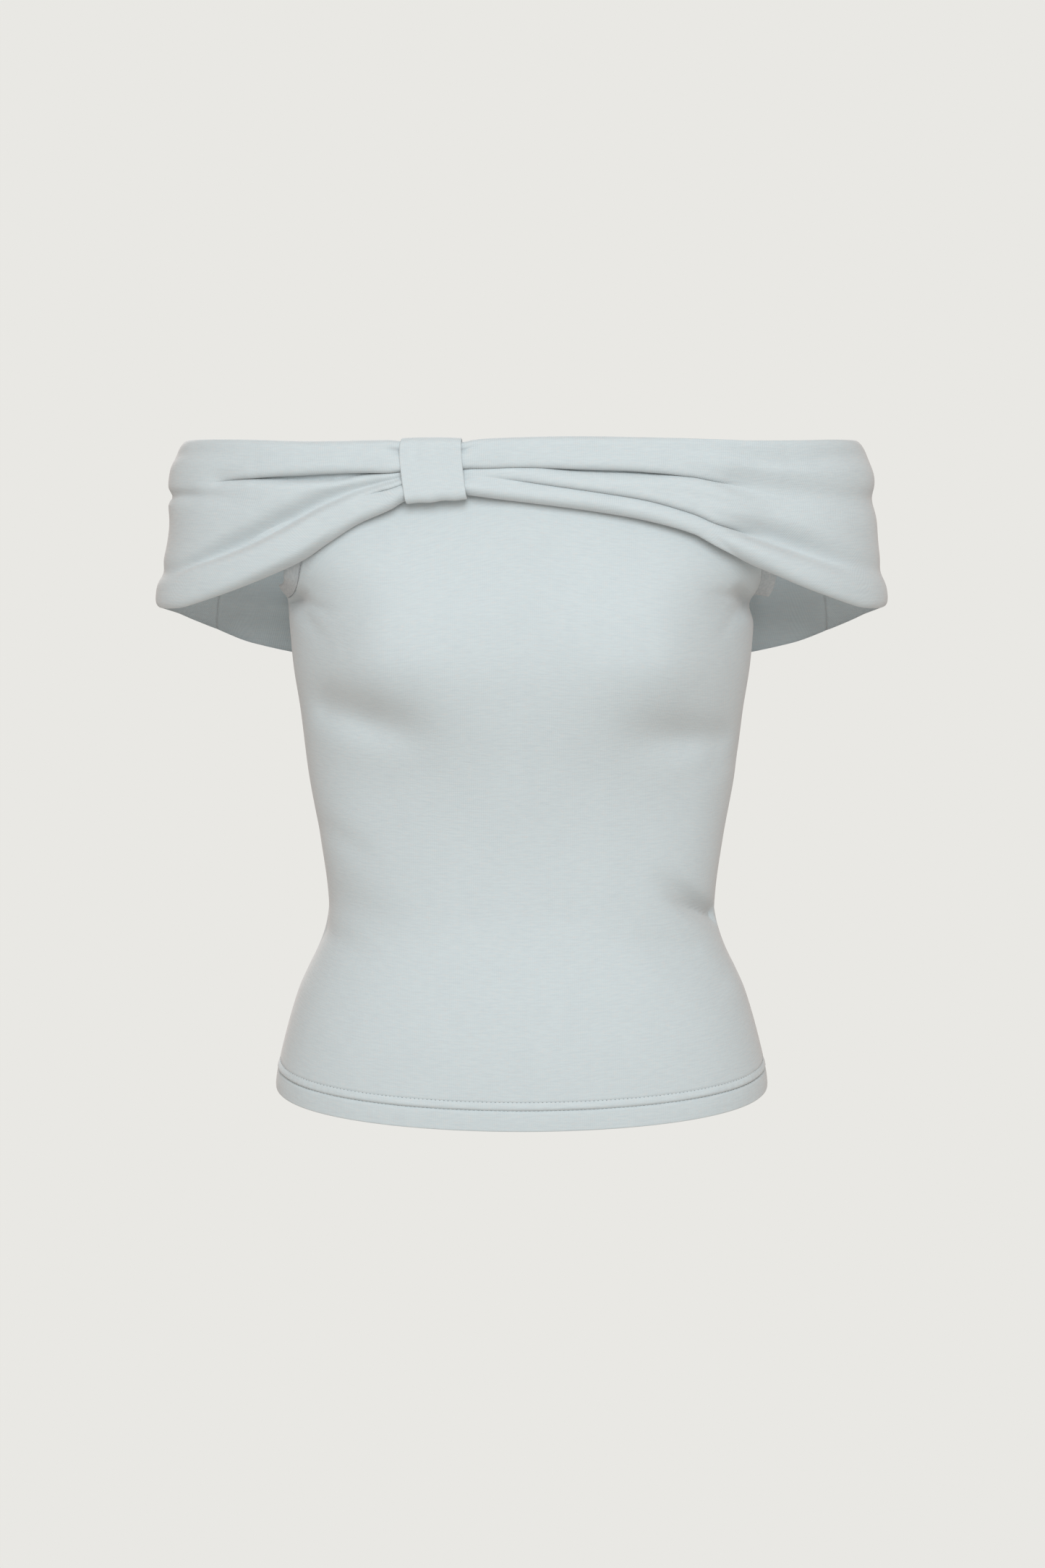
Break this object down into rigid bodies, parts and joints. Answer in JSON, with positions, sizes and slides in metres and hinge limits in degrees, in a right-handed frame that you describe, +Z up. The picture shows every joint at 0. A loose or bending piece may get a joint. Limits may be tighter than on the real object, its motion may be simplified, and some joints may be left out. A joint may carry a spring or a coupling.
{
  "type": "off-shoulder top",
  "caption": "Fitted jersey top with a wide gathered band that sits off the shoulders, caught in a loop at the front.",
  "frame": {"origin": "on the middle line of the wearer's chest at underarm height, where the chest and upper arms hold the top", "axes": "+Z up, -Y to the front, +X to the right of someone who looks at the front"},
  "size_m": [0.4724, 0.2202, 0.437],
  "materials": {
    "jersey_body": "matte",
    "jersey_band": "matte",
    "jersey_binding": "matte"
  },
  "bodies": {
    "root": {"front_panel": "jersey_body", "back_panel": "jersey_body", "front_band": "jersey_band", "back_band": "jersey_band", "loop": "jersey_band", "left_armhole_binding": "jersey_binding", "right_armhole_binding": "jersey_binding"}
  },
  "joints": []
}
